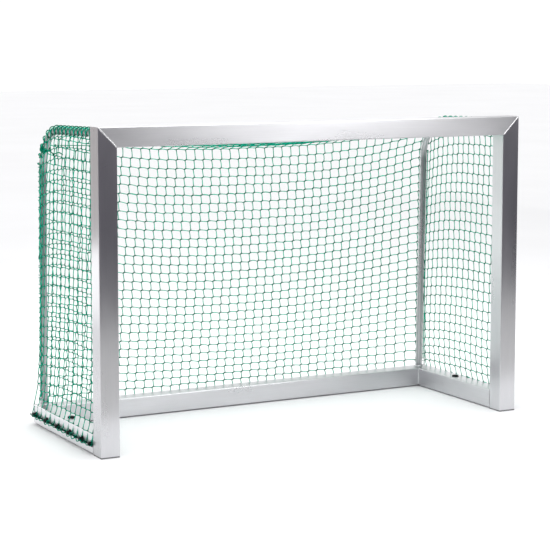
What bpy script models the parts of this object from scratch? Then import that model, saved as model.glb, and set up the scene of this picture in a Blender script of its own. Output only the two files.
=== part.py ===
"""Small aluminium soccer goal: a welded square-tube frame, two net brackets, hooks, cords and a net.

The goal mouth faces -Y, +X is to the right of someone standing behind the goal's mouth line and
looking in, and +Z is up. The origin is on the floor, at the middle of the object's box.
"""

import math

import bmesh
import bpy
from mathutils import Matrix, Vector

# Driving dimensions, metres
CLEAR_WIDTH = 1.80
CLEAR_HEIGHT = 1.21
PROFILE = 0.08
FRAME_DEPTH = 0.735
WALL = 0.003
PROFILE_EDGE_RADIUS = 0.004
FLOOR_CLEARANCE = 0.005
TOUCH_GAP = 0.0003

# Net brackets: round tubes from the top corners back and down to the rear ground bar
BRACKET_RADIUS = 0.016
BRACKET_WALL = 0.0025
BRACKET_BEND = 0.19
BRACKET_TOP_DROP = 0.028
BRACKET_CORNER_DROP = 0.015
BRACKET_REAR_LEAN = 0.027
BRACKET_REAR_INSET = 0.018
BRACKET_END_GAP = 0.0008

# Ground anchor holes and their plugs
ANCHOR_HOLE_RADIUS = 0.013
PLUG_STEM_RADIUS = 0.0126
PLUG_HEAD_RADIUS = 0.0155
PLUG_HEAD_HEIGHT = 0.007
PLUG_STEM_LENGTH = 0.014
PLUG_WALL = 0.0026

# Post end caps and rear pads
CAP_SKIRT_HEIGHT = 0.012
CAP_SKIRT_WALL = 0.002
PAD_SIDE = 0.064

# Net hooks: a flat base plate with a C that holds a cord
HOOK_WIDTH = 0.011
HOOK_PLATE = 0.0027
HOOK_PLATE_HALF = 0.013
HOOK_RING_OFFSET = 0.0088
HOOK_RING_INNER = 0.0043
HOOK_RING_OUTER = 0.0085
HOOK_TIP_ANGLE = -115.0
GROUND_HOOK_HEIGHT = 0.044
SIDE_HOOK_COUNT = 6
SIDE_HOOK_PITCH = 0.128
SIDE_HOOK_REAR_INSET = 0.03
SIDE_HOOK_FRONT_INSET = 0.015
REAR_HOOK_COUNT = 10
REAR_HOOK_SPAN = 1.80
CROSSBAR_HOOK_COUNT = 7
CROSSBAR_HOOK_SPAN = 1.50
CROSSBAR_HOOK_DROP = 0.058
POST_HOOK_COUNT = 4
POST_HOOK_LOWEST = 0.25
POST_HOOK_PITCH = 0.27
POST_HOOK_OUTSET = 0.02

# Cords
EDGE_CORD_RADIUS = 0.0038
EDGE_CORD_CORNER = 0.02
FRONT_CORD_FOOT = 0.10
TIE_CORD_RADIUS = 0.0015
TIE_CORD_START_DROP = 0.076
TIE_CORD_END_DROP = 0.096
TIE_CORD_REACH = 0.56

# Net panels, as thin closed solids where the hanging net lies
NET_THICKNESS = 0.003
NET_FRONT = 0.10
NET_FOOT = 0.064
NET_CLEARANCE = 0.0015
ROOF_CLEARANCE = 0.003
NET_SIDE_TOP = 1.245
NET_SIDE_LEAN = 0.027
NET_BACK_TOP = 1.054
NET_BACK_FOOT_Y = 0.7395
NET_BACK_TOP_Y = 0.7125
NET_ROOF_HALF = 0.956
NET_LIFT_HALF = 0.925
NET_SAG_POWER = 2.6
NET_ROOF_MIDDLE_FRONT = 1.232
NET_ROOF_MIDDLE_REAR = (0.695, 1.135)
NET_MIDDLE_BEND = 0.03
ROOF_COLUMNS = 16
ROOF_ROWS = 14

# Worked out from the above
POST_X = CLEAR_WIDTH / 2 + PROFILE / 2
FRAME_HEIGHT = CLEAR_HEIGHT + PROFILE
CROSSBAR_Z = FRAME_HEIGHT - PROFILE / 2
GROUND_BAR_Z = FLOOR_CLEARANCE + PROFILE / 2
GROUND_BAR_TOP = FLOOR_CLEARANCE + PROFILE
REAR_BAR_Y = FRAME_DEPTH - PROFILE / 2
ANCHOR_Y = (PROFILE + FRAME_DEPTH) / 2
HOOK_REACH = HOOK_RING_OFFSET + HOOK_RING_OUTER
FRONT_Y = -(FRAME_DEPTH + HOOK_REACH) / 2
MITRE_GAP = TOUCH_GAP * math.sqrt(0.5)

SIDES = {"left": -1, "right": 1}

ALUMINIUM = ((0.74, 0.74, 0.76, 1.0), 0.32, 1.0)
GREY_PLASTIC = ((0.30, 0.31, 0.32, 1.0), 0.55, 0.0)
BLACK_PLASTIC = ((0.015, 0.015, 0.015, 1.0), 0.40, 0.0)
NET_GREEN = ((0.02, 0.32, 0.16, 1.0), 0.60, 0.0)
CORD_GREEN = ((0.01, 0.14, 0.08, 1.0), 0.65, 0.0)


def clear_scene():
    for item in list(bpy.data.objects):
        bpy.data.objects.remove(item, do_unlink=True)


def new_collection(name):
    collection = bpy.data.collections.new(name)
    bpy.context.scene.collection.children.link(collection)
    return collection


def new_material(name, finish):
    colour, roughness, metallic = finish
    material = bpy.data.materials.new(name)
    material.use_nodes = True
    shader = material.node_tree.nodes["Principled BSDF"]
    shader.inputs["Base Color"].default_value = colour
    shader.inputs["Roughness"].default_value = roughness
    shader.inputs["Metallic"].default_value = metallic
    material.diffuse_color = colour
    return material


def placed(x, y, z):
    """A point given from the frame's front face, moved into the object's own frame."""
    return Vector((x, y + FRONT_Y, z))


def new_object(name, data, collection, material=None):
    item = bpy.data.objects.new(name, data)
    collection.objects.link(item)
    if material is not None:
        data.materials.append(material)
    return item


def rounded_square(half, radius, steps=3):
    """Corner points of a square outline whose corners are arcs."""
    points = []
    for corner in range(4):
        middle = math.radians(45 + 90 * corner)
        centre = Vector((math.cos(middle), math.sin(middle))) * (half - radius) * math.sqrt(2)
        for step in range(steps + 1):
            angle = math.radians(90 * corner + 90 * step / steps)
            points.append(centre + Vector((math.cos(angle), math.sin(angle))) * radius)
    return points


def plain_square(half):
    return [Vector((x * half, y * half)) for x, y in ((1, 1), (-1, 1), (-1, -1), (1, -1))]


def mesh_of_curve(curve, name):
    """The evaluated curve as a mesh with its caps joined to its sides."""
    helper = bpy.data.objects.new(name, curve)
    bpy.context.scene.collection.objects.link(helper)
    graph = bpy.context.evaluated_depsgraph_get()
    graph.update()
    mesh = bpy.data.meshes.new_from_object(helper.evaluated_get(graph))
    bpy.data.objects.remove(helper, do_unlink=True)
    mesh.name = name
    work = bmesh.new()
    work.from_mesh(mesh)
    bmesh.ops.remove_doubles(work, verts=work.verts, dist=0.00001)
    bmesh.ops.recalc_face_normals(work, faces=work.faces)
    work.to_mesh(mesh)
    work.free()
    return mesh


def flat_outline(name, outlines, thickness):
    """A flat plate with the given closed outlines, thickness along local Z and centred on it."""
    curve = bpy.data.curves.new(name, "CURVE")
    curve.dimensions = "2D"
    curve.fill_mode = "BOTH"
    curve.extrude = thickness / 2
    for outline in outlines:
        spline = curve.splines.new("POLY")
        spline.points.add(len(outline) - 1)
        for point, place in zip(spline.points, outline):
            point.co = (place[0], place[1], 0.0, 1.0)
        spline.use_cyclic_u = True
    return mesh_of_curve(curve, name)


def cord_curve(name, points, radius, resolution=2):
    curve = bpy.data.curves.new(name, "CURVE")
    curve.dimensions = "3D"
    curve.bevel_depth = radius
    curve.bevel_resolution = resolution
    curve.use_fill_caps = True
    spline = curve.splines.new("POLY")
    spline.points.add(len(points) - 1)
    for point, place in zip(spline.points, points):
        point.co = (*place, 1.0)
    return curve


def basis(x_axis, z_axis, origin):
    """A matrix whose columns are the given X and Z axes, their Y axis and an origin."""
    x_axis = Vector(x_axis)
    z_axis = Vector(z_axis)
    matrix = Matrix((x_axis, z_axis.cross(x_axis), z_axis)).transposed().to_4x4()
    matrix.translation = origin
    return matrix


def filleted(points, radius, steps):
    """The path through the points with every inner corner turned into an arc."""
    path = [Vector(points[0])]
    for before, corner, after in zip(points, points[1:], points[2:]):
        corner = Vector(corner)
        back = (Vector(before) - corner).normalized()
        on = (Vector(after) - corner).normalized()
        half_angle = back.angle(on) / 2
        middle = (back + on).normalized()
        centre = corner + middle * radius / math.sin(half_angle)
        first = corner + back * radius / math.tan(half_angle) - centre
        last = corner + on * radius / math.tan(half_angle) - centre
        sweep = first.angle(last)
        for step in range(steps + 1):
            share = step / steps
            arm = first * math.sin((1 - share) * sweep) + last * math.sin(share * sweep)
            path.append(centre + arm / math.sin(sweep))
    path.append(Vector(points[-1]))
    return path


def boolean(item, cutter, operation):
    modifier = item.modifiers.new("cut", "BOOLEAN")
    modifier.operation = operation
    modifier.object = cutter


def hide_cutter(cutter):
    cutter.hide_render = True
    cutter.display_type = "WIRE"


def square_tube(name, collection, material, start, axis, mitre_axis, length, mitres):
    """A hollow square profile along axis; mitres say how each end slants along mitre_axis."""
    outlines = (rounded_square(PROFILE / 2, PROFILE_EDGE_RADIUS), plain_square(PROFILE / 2 - WALL))
    mesh = flat_outline(name, outlines, length)
    start_mitre, end_mitre = mitres
    for vertex in mesh.vertices:
        if vertex.co.z < 0:
            vertex.co.z = MITRE_GAP + start_mitre * vertex.co.x
        else:
            vertex.co.z = length - MITRE_GAP + end_mitre * vertex.co.x
    item = new_object(name, mesh, collection, material)
    item.matrix_world = basis(mitre_axis, axis, start)
    return item


def make_frame(collection, cutters, material):
    """The goal mouth of two posts and a crossbar, and the three ground bars, mitred at the corners."""
    x_axis, y_axis, z_axis = (1, 0, 0), (0, 1, 0), (0, 0, 1)
    square_tube("crossbar", collection, material, placed(-POST_X, PROFILE / 2, CROSSBAR_Z),
                x_axis, z_axis, 2 * POST_X, (-1, 1))
    square_tube("rear_ground_bar", collection, material, placed(-POST_X, REAR_BAR_Y, GROUND_BAR_Z),
                x_axis, y_axis, 2 * POST_X, (-1, 1))
    for side, sign in SIDES.items():
        post_foot = placed(sign * POST_X, PROFILE / 2, FLOOR_CLEARANCE)
        square_tube(f"{side}_post", collection, material, post_foot,
                    z_axis, x_axis, CROSSBAR_Z - FLOOR_CLEARANCE, (0, sign))
        bar_front = placed(sign * POST_X, PROFILE, GROUND_BAR_Z)
        bar = square_tube(f"{side}_ground_bar", collection, material, bar_front,
                          y_axis, x_axis, REAR_BAR_Y - PROFILE, (0, sign))
        boolean(bar, anchor_cutter(side, sign, cutters), "DIFFERENCE")


def anchor_cutter(side, sign, cutters):
    """A vertical drill for the anchor hole through a side ground bar."""
    mesh = bpy.data.meshes.new(f"{side}_anchor_drill")
    work = bmesh.new()
    bmesh.ops.create_cone(work, cap_ends=True, segments=32, radius1=ANCHOR_HOLE_RADIUS,
                          radius2=ANCHOR_HOLE_RADIUS, depth=2 * PROFILE)
    work.to_mesh(mesh)
    work.free()
    cutter = new_object(mesh.name, mesh, cutters)
    cutter.location = placed(sign * POST_X, ANCHOR_Y, GROUND_BAR_Z)
    hide_cutter(cutter)
    return cutter


def bracket_legs(offset):
    """The bracket's three corner points in its own upright plane (y, z), moved outward by offset."""
    front = Vector((PROFILE, FRAME_HEIGHT - BRACKET_TOP_DROP))
    foot = Vector((FRAME_DEPTH - BRACKET_REAR_INSET, GROUND_BAR_TOP))
    corner = Vector((foot.x - BRACKET_REAR_LEAN, front.y - BRACKET_CORNER_DROP))
    along_top = (corner - front).normalized()
    along_rear = (foot - corner).normalized()
    top_normal = Vector((-along_top.y, along_top.x))
    rear_normal = Vector((-along_rear.y, along_rear.x))
    shift = (top_normal + rear_normal) * offset / (1 + top_normal.dot(rear_normal))
    return (front + top_normal * offset, corner + shift, foot + rear_normal * offset,
            along_top, along_rear)


def make_bracket(side, sign, collection, cutters, material):
    """A bent round tube from the top corner's rear face to the top of the rear ground corner."""
    front, corner, foot, along_top, along_rear = bracket_legs(0.0)
    ends = (front + along_top * BRACKET_END_GAP, corner, foot - along_rear * BRACKET_END_GAP)
    path = [placed(sign * POST_X, y, z) for y, z in filleted(ends, BRACKET_BEND, 10)]
    longer = list(path)
    longer[0] = path[0] - (path[1] - path[0]).normalized() * BRACKET_RADIUS
    longer[-1] = path[-1] + (path[-1] - path[-2]).normalized() * BRACKET_RADIUS
    name = f"{side}_net_bracket"
    bore_name = f"{side}_bracket_bore"
    outside = mesh_of_curve(cord_curve(name, path, BRACKET_RADIUS, 4), name)
    bore = mesh_of_curve(cord_curve(bore_name, longer, BRACKET_RADIUS - BRACKET_WALL, 4), bore_name)
    tube = new_object(name, outside, collection, material)
    cutter = new_object(bore.name, bore, cutters)
    hide_cutter(cutter)
    boolean(tube, cutter, "DIFFERENCE")
    tube.data.shade_smooth()
    tube.data.set_sharp_from_angle(angle=math.radians(40))


def make_end_cap(side, sign, collection, cutters, material):
    """A flat plastic foot under a post, with a skirt that fits inside the tube."""
    plate_height = FLOOR_CLEARANCE - TOUCH_GAP
    outline = rounded_square(PROFILE / 2, PROFILE_EDGE_RADIUS)
    plate = flat_outline(f"{side}_post_end_cap", (outline,), plate_height)
    cap = new_object(plate.name, plate, collection, material)
    cap.location = placed(sign * POST_X, PROFILE / 2, plate_height / 2)
    outer = PROFILE / 2 - WALL - TOUCH_GAP
    outlines = (plain_square(outer), plain_square(outer - CAP_SKIRT_WALL))
    skirt_mesh = flat_outline(f"{side}_cap_skirt", outlines, CAP_SKIRT_HEIGHT + plate_height / 2)
    skirt = new_object(skirt_mesh.name, skirt_mesh, cutters)
    skirt.location = placed(sign * POST_X, PROFILE / 2, (CAP_SKIRT_HEIGHT + 1.5 * plate_height) / 2)
    hide_cutter(skirt)
    boolean(cap, skirt, "UNION")


def make_rear_pad(side, sign, collection, material):
    """A thin pad that keeps the rear ground corner level with the end caps."""
    height = FLOOR_CLEARANCE - TOUCH_GAP
    outline = rounded_square(PAD_SIDE / 2, PROFILE_EDGE_RADIUS)
    mesh = flat_outline(f"{side}_rear_foot_pad", (outline,), height)
    pad = new_object(mesh.name, mesh, collection, material)
    pad.location = placed(sign * POST_X, REAR_BAR_Y, height / 2)


def make_plug(side, sign, collection, material):
    """A turned cover with a domed head and a hollow stem, standing in the anchor hole."""
    dome = [(PLUG_HEAD_RADIUS * math.sin(angle), PLUG_HEAD_HEIGHT * (0.3 + 0.7 * math.cos(angle)))
            for angle in (math.radians(15 * step) for step in range(7))]
    inner = PLUG_STEM_RADIUS - PLUG_WALL
    stem = [(PLUG_HEAD_RADIUS, 0.0), (PLUG_STEM_RADIUS, 0.0), (PLUG_STEM_RADIUS, -PLUG_STEM_LENGTH),
            (inner, -PLUG_STEM_LENGTH), (inner, PLUG_HEAD_HEIGHT / 4), (0.0, PLUG_HEAD_HEIGHT / 4)]
    profile = dome + stem
    mesh = bpy.data.meshes.new(f"{side}_ground_anchor_plug")
    work = bmesh.new()
    rim = [work.verts.new((radius, 0.0, height)) for radius, height in profile]
    for first, second in zip(rim, rim[1:]):
        work.edges.new((first, second))
    work.to_mesh(mesh)
    work.free()
    plug = new_object(mesh.name, mesh, collection, material)
    plug.location = placed(sign * POST_X, ANCHOR_Y, GROUND_BAR_TOP + TOUCH_GAP)
    screw = plug.modifiers.new("turn", "SCREW")
    screw.steps = 24
    screw.render_steps = 24
    screw.use_merge_vertices = True
    screw.merge_threshold = 0.00001


def ring_arc(radius):
    """Points on the hook's C, from its root round to its tip."""
    angles = [math.radians(90 + (HOOK_TIP_ANGLE - 90) * step / 8) for step in range(9)]
    return [(HOOK_RING_OFFSET + radius * math.cos(a), radius * math.sin(a)) for a in angles]


def hook_mesh():
    """The hook's side outline: X away from the tube it sits on, Y the way the net pulls."""
    inner = ring_arc(HOOK_RING_INNER)
    outer = ring_arc(HOOK_RING_OUTER)
    front = TOUCH_GAP + HOOK_PLATE
    outline = [(TOUCH_GAP, -HOOK_PLATE_HALF), (front, -HOOK_PLATE_HALF), (front, HOOK_RING_INNER)]
    outline += inner + outer[::-1]
    outline += [(front, HOOK_RING_OUTER), (front, HOOK_PLATE_HALF), (TOUCH_GAP, HOOK_PLATE_HALF)]
    return flat_outline("net_hook", (outline,), HOOK_WIDTH)


def make_hook(name, mesh, collection, place, outward, pull):
    hook = bpy.data.objects.new(name, mesh)
    collection.objects.link(hook)
    hook.matrix_world = basis(outward, Vector(outward).cross(Vector(pull)), place)


def spread(count, span):
    """Evenly spaced places over a span that is centred on zero."""
    return [span * (index / (count - 1) - 0.5) for index in range(count)]


def side_hook_places():
    """From the rear forwards; the last hook closes up to the post."""
    foremost = PROFILE + SIDE_HOOK_FRONT_INSET
    rearmost = FRAME_DEPTH - SIDE_HOOK_REAR_INSET
    return [max(foremost, rearmost - SIDE_HOOK_PITCH * index) for index in range(SIDE_HOOK_COUNT)]


def make_hooks(collection, material):
    mesh = hook_mesh()
    mesh.materials.append(material)
    half_width = CLEAR_WIDTH / 2 + PROFILE
    for side, sign in SIDES.items():
        for number, y in enumerate(side_hook_places(), 1):
            make_hook(f"{side}_ground_hook_{number}", mesh, collection,
                      placed(sign * half_width, y, GROUND_HOOK_HEIGHT), (sign, 0, 0), (0, 0, 1))
        for number in range(POST_HOOK_COUNT):
            height = POST_HOOK_LOWEST + POST_HOOK_PITCH * number
            place = placed(sign * (POST_X + POST_HOOK_OUTSET), PROFILE, height)
            make_hook(f"{side}_post_hook_{number + 1}", mesh, collection, place, (0, 1, 0), (sign, 0, 0))
    for number, x in enumerate(spread(REAR_HOOK_COUNT, REAR_HOOK_SPAN), 1):
        make_hook(f"rear_ground_hook_{number}", mesh, collection,
                  placed(x, FRAME_DEPTH, GROUND_HOOK_HEIGHT), (0, 1, 0), (0, 0, 1))
    for number, x in enumerate(spread(CROSSBAR_HOOK_COUNT, CROSSBAR_HOOK_SPAN), 1):
        make_hook(f"crossbar_hook_{number}", mesh, collection,
                  placed(x, PROFILE, FRAME_HEIGHT - CROSSBAR_HOOK_DROP), (0, 1, 0), (0, 0, -1))


def make_cord(name, collection, material, corners, radius, corner_radius):
    path = filleted([placed(*corner) for corner in corners], corner_radius, 5)
    new_object(name, cord_curve(name, path, radius), collection, material)


def make_cords(collection, material):
    """The net's border cord along the ground, its front edge cord, and the two tie cords."""
    ground_x = CLEAR_WIDTH / 2 + PROFILE + HOOK_RING_OFFSET
    ground_y = FRAME_DEPTH + HOOK_RING_OFFSET
    start_y = PROFILE + TOUCH_GAP
    ground = [(-ground_x, start_y, GROUND_HOOK_HEIGHT), (-ground_x, ground_y, GROUND_HOOK_HEIGHT),
              (ground_x, ground_y, GROUND_HOOK_HEIGHT), (ground_x, start_y, GROUND_HOOK_HEIGHT)]
    make_cord("ground_border_cord", collection, material, ground, EDGE_CORD_RADIUS, EDGE_CORD_CORNER)
    edge_x = POST_X + POST_HOOK_OUTSET
    edge_y = PROFILE + HOOK_RING_OFFSET
    edge_z = FRAME_HEIGHT - CROSSBAR_HOOK_DROP
    front = [(-edge_x, edge_y, FRONT_CORD_FOOT), (-edge_x, edge_y, edge_z),
             (edge_x, edge_y, edge_z), (edge_x, edge_y, FRONT_CORD_FOOT)]
    make_cord("front_edge_cord", collection, material, front, EDGE_CORD_RADIUS, EDGE_CORD_CORNER)
    for side, sign in SIDES.items():
        net_outside = side_net_outer(FRAME_HEIGHT - TIE_CORD_END_DROP)
        tie_x = sign * (net_outside + TIE_CORD_RADIUS + NET_CLEARANCE)
        tie = [placed(tie_x, NET_FRONT, FRAME_HEIGHT - TIE_CORD_START_DROP),
               placed(tie_x, TIE_CORD_REACH, FRAME_HEIGHT - TIE_CORD_END_DROP)]
        name = f"{side}_net_tie_cord"
        new_object(name, cord_curve(name, tie, TIE_CORD_RADIUS), collection, material)


def side_net_inner(z):
    """How far out the side net's inner face is at a height: it leans out over the ground bar."""
    share = (NET_SIDE_TOP - z) / (NET_SIDE_TOP - NET_FOOT)
    return POST_X + BRACKET_RADIUS + NET_CLEARANCE + NET_SIDE_LEAN * share


def side_net_outer(z):
    return side_net_inner(z) + NET_THICKNESS


def back_net_inner(z):
    """How far back the back net's inner face is at a height."""
    share = (NET_BACK_TOP - z) / (NET_BACK_TOP - NET_FOOT)
    return NET_BACK_TOP_Y + (NET_BACK_FOOT_Y - NET_BACK_TOP_Y) * share


def make_side_net(side, sign, collection, material):
    """A flat leaning panel outside the bracket, rounded like it at the top rear."""
    rear_corner = (back_net_inner(NET_SIDE_TOP) - NET_CLEARANCE, NET_SIDE_TOP)
    rear_foot = (back_net_inner(NET_FOOT) - NET_CLEARANCE, NET_FOOT)
    outline = [Vector((NET_FRONT, NET_FOOT))]
    outline += filleted(((NET_FRONT, NET_SIDE_TOP), rear_corner, rear_foot), BRACKET_BEND, 8)
    mesh = flat_outline(f"{side}_side_net", (outline,), NET_THICKNESS)
    for vertex in mesh.vertices:
        y, z, across = vertex.co
        vertex.co = placed(sign * (side_net_inner(z) + NET_THICKNESS / 2) + across, y, z)
    new_object(mesh.name, mesh, collection, material)


def net_sheet(name, columns, rows, place, collection, material):
    """A grid laid over a surface and thickened outward; place takes -1..1 across and 0..1 along."""
    mesh = bpy.data.meshes.new(name)
    work = bmesh.new()
    bmesh.ops.create_grid(work, x_segments=columns, y_segments=rows, size=1.0)
    for vertex in work.verts:
        vertex.co = place(vertex.co.x, (vertex.co.y + 1) / 2)
    work.to_mesh(mesh)
    work.free()
    sheet = new_object(name, mesh, collection, material)
    solidify = sheet.modifiers.new("thickness", "SOLIDIFY")
    solidify.thickness = NET_THICKNESS
    solidify.offset = 1.0


def back_net_place(across, along):
    z = NET_BACK_TOP + (NET_FOOT - NET_BACK_TOP) * along
    return placed(across * side_net_outer(z), back_net_inner(z), z)


def point_along(path, share):
    """The point at a share of a path's length."""
    steps = [(b - a).length for a, b in zip(path, path[1:])]
    left = share * sum(steps)
    for start, end, step in zip(path, path[1:], steps):
        if left <= step:
            return start.lerp(end, left / step)
        left -= step
    return path[-1]


def roof_profiles():
    """The roof net's path from front to rear, over a bracket and at the sagging middle."""
    front, corner, _, along_top, _ = bracket_legs(BRACKET_RADIUS + ROOF_CLEARANCE)
    start = front + along_top * (NET_FRONT - front.x) / along_top.x
    end = Vector((NET_BACK_TOP_Y, NET_BACK_TOP + NET_CLEARANCE))
    over = filleted((start, corner, end), BRACKET_BEND + BRACKET_RADIUS, 12)
    middle_corners = ((NET_FRONT, NET_ROOF_MIDDLE_FRONT), NET_ROOF_MIDDLE_REAR, end)
    return over, filleted(middle_corners, NET_MIDDLE_BEND, 6)


def make_roof_net(collection, material):
    over, middle = roof_profiles()
    last_inner = 1 - 2 / ROOF_COLUMNS

    def place(across, along):
        lifted = min(1.0, abs(across) / last_inner)
        x = across / last_inner * NET_LIFT_HALF
        if abs(across) > last_inner + TOUCH_GAP:
            x = math.copysign(NET_ROOF_HALF, across)
        y, z = point_along(middle, along).lerp(point_along(over, along), lifted ** NET_SAG_POWER)
        return placed(x, y, z)

    net_sheet("roof_net", ROOF_COLUMNS, ROOF_ROWS, place, collection, material)


def main():
    clear_scene()
    goal = new_collection("soccer_goal_frame")
    cutters = new_collection("cutters")
    aluminium = new_material("aluminium", ALUMINIUM)
    grey_plastic = new_material("grey_plastic", GREY_PLASTIC)
    black_plastic = new_material("black_plastic", BLACK_PLASTIC)
    net_green = new_material("net_green", NET_GREEN)
    cord_green = new_material("cord_green", CORD_GREEN)
    make_frame(goal, cutters, aluminium)
    for side, sign in SIDES.items():
        make_bracket(side, sign, goal, cutters, aluminium)
        make_end_cap(side, sign, goal, cutters, grey_plastic)
        make_rear_pad(side, sign, goal, grey_plastic)
        make_plug(side, sign, goal, black_plastic)
        make_side_net(side, sign, goal, net_green)
    net_sheet("back_net", 1, 1, back_net_place, goal, net_green)
    make_roof_net(goal, net_green)
    make_hooks(goal, black_plastic)
    make_cords(goal, cord_green)


main()
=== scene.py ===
"""The looks of the soccer goal frame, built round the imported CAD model.

Lengths are metres. Places are worked out "from the front face": y = 0 is the front face of the
posts, and placed() moves such a point into the model's frame.
"""
import math

import bmesh
import bpy
import numpy as np
from mathutils import Matrix, Vector


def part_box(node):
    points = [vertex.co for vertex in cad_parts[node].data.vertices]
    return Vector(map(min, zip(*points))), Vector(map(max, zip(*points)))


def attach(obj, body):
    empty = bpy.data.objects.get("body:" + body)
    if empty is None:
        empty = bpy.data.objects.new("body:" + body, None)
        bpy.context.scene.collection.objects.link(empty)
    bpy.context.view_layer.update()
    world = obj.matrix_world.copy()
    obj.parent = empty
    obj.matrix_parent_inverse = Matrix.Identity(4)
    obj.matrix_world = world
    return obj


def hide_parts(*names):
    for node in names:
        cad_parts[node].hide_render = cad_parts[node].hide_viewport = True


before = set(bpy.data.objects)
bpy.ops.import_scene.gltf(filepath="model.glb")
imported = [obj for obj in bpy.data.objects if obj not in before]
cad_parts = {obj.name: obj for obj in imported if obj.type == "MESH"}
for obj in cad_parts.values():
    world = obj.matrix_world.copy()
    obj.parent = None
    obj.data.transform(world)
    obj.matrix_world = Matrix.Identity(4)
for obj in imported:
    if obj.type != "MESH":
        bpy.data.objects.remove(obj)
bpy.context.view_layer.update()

BODY = "goal_frame"
SIDES = {"left": -1.0, "right": 1.0}

# Places read from the frame
CROSSBAR_LOW, CROSSBAR_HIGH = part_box("crossbar")
POST_LOW, POST_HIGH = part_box("right_post")
REAR_BAR_LOW, REAR_BAR_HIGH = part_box("rear_ground_bar")
TUBE_LOW, TUBE_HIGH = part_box("right_net_bracket")
FRONT_Y = CROSSBAR_LOW.y
PROFILE = CROSSBAR_HIGH.y - CROSSBAR_LOW.y
FRAME_DEPTH = REAR_BAR_HIGH.y - FRONT_Y
FRAME_HEIGHT = CROSSBAR_HIGH.z
FRAME_HALF = POST_HIGH.x
POST_X = (POST_LOW.x + POST_HIGH.x) / 2
GROUND_BAR_TOP = REAR_BAR_HIGH.z
GROUND_BAR_BASE = REAR_BAR_LOW.z
REAR_BAR_FRONT = REAR_BAR_LOW.y - FRONT_Y
TUBE_RADIUS = (TUBE_HIGH.x - TUBE_LOW.x) / 2

# The brackets' route, as in the CAD model
TUBE_BEND = 0.19
TUBE_TOP_DROP = 0.028
TUBE_CORNER_DROP = 0.015
TUBE_REAR_LEAN = 0.027
TUBE_REAR_INSET = 0.018
TUBE_END_GAP = 0.0008
TUBE_BEND_STEPS = 24
TUBE_STEP = 0.004
SEARCH_STEP = 0.001
TUBE_SIDES = 32

# Hooks and cords, as in the CAD model
HOOK_WIDTH = 0.011
HOOK_PLATE = 0.0027
HOOK_PLATE_HALF = 0.013
HOOK_RING_OFFSET = 0.0088
HOOK_RING_INNER = 0.0043
HOOK_RING_OUTER = 0.0085
HOOK_TIP_ANGLE = -115.0
HOOK_GAP = 0.0003
PLUG_STEM_RADIUS = 0.0126
PLUG_WALL = 0.0026
GROUND_CORD_Z = 0.044
FRONT_CORD_Z = FRAME_HEIGHT - 0.058
FRONT_CORD_X = POST_X + 0.02
FRONT_CORD_FOOT = 0.10

# Ropes and knots: the hooks' rope is a little thinner than the CAD model's cord
CORD_RADIUS = 0.0034
CORD_CORNER = 0.02
CORD_CORNER_STEPS = 8
CORD_PITCH = 0.018
CORD_END_GAP = 0.002
ROPE_STEP = 0.0025
PLY_OFFSET = 0.48
PLY_RADIUS = 0.53
KNOT_POINTS = 49
KNOT_FLATNESS = 2.2

# The tie cords: places are (y, z), or (out, y, z) with out away from the side net
TIE_RADIUS = 0.0022
TIE_THIN = 0.8
TIE_PITCH = 0.009
TIE_HEIGHT = 1.2
TIE_OUT = 0.0045
TIE_LIFT = {"left": 0.0, "right": 0.03}
TIE_RUN = ((0.10, 1.214), (0.14, 1.2125), (0.50, 1.194))
TIE_KNOTS = ((0.125, 1.212), (0.488, 1.195))
TIE_TAIL = ((0.0, 0.60, 1.172), (0.0, 0.56, 1.168), (0.0, 0.505, 1.157), (0.004, 0.46, 1.166),
            (0.006, 0.426, 1.169), (0.004, 0.40, 1.162))
TIE_TAIL_SWELL = 1.25
TAIL_KNOT = (0.001, 0.505, 1.157)
TAIL_START = 8
SMALL_KNOT = 0.0034
LARGE_KNOT = 0.0042
LASHING_PLACES = {"left": 0.60, "right": 0.54}
LASHING_SWELL = 1.1
LASHING_TURNS = 3
LASHING_SWEEP = (-120, 180, 20)
LASHING_PITCH = 0.0055
LASHING_LIFT = 0.0026

# The finish of the mouldings
HOOK_START_ANGLE = 90.0
HOOK_STEPS = 16
HOOK_ROUNDING = 0.0006
HOOK_SHARP_ANGLE = math.radians(35)
RIVET_HEIGHTS = (-0.0095, 0.0102)
RIVET_RADIUS = 0.0021
RIVET_SINK = 0.0002
RIVET_FLATNESS = 0.45
PLUG_DOME_STEP = 10
PLUG_DOME_POINTS = 8
PLUG_DOME_SHARE = 0.97
PLUG_DOME_LOW = 0.42
PLUG_DOME_RISE = 0.58
PLUG_RIM = ((0.985, 0.42), (0.955, 0.36), (0.985, 0.30), (1.0, 0.24), (1.0, 0.06), (0.98, 0.0))
PLUG_RIBS = 3
PLUG_RIB_TOP = -0.003
PLUG_RIB_PITCH = 0.0035
PLUG_RIB_DEPTH = 0.0006
PLUG_RIB_HALF = 0.001
PLUG_TIP = ((0.0004, 0.0006), (0.001, 0.0))
PLUG_CEILING = 0.2
PLUG_SIDES = 56
PLUG_SHARP_ANGLE = math.radians(40)
NOTCH_LENGTH = 0.003
NOTCH_WIDTH = 0.0022
NOTCH_DEPTH = 0.0012
MERGE_DISTANCE = 0.00001

# Weld beads
BEAD_TRIM = 0.003
BEAD_SIDES = 6
BEAD_BASE = 0.92
BEAD_SWELL = 0.08
BEAD_TIP = 0.35
BEAD_TAPER = 12
RIPPLE_LENGTH = 0.0022
RIPPLE_VALLEY = 0.72
RIPPLE_WAVES = ((0.10, 1.7), (0.06, 0.61))
RIPPLE_LAG = 0.0009
RING_BEAD_POINTS = 97
RING_BEAD_RIPPLE = 0.16
RING_BEAD_COUNT = 46
RING_BEAD_GAP = 0.0008
RING_BEAD_RISE = 0.001
RING_BEAD_THICKNESS = 0.0024

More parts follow.
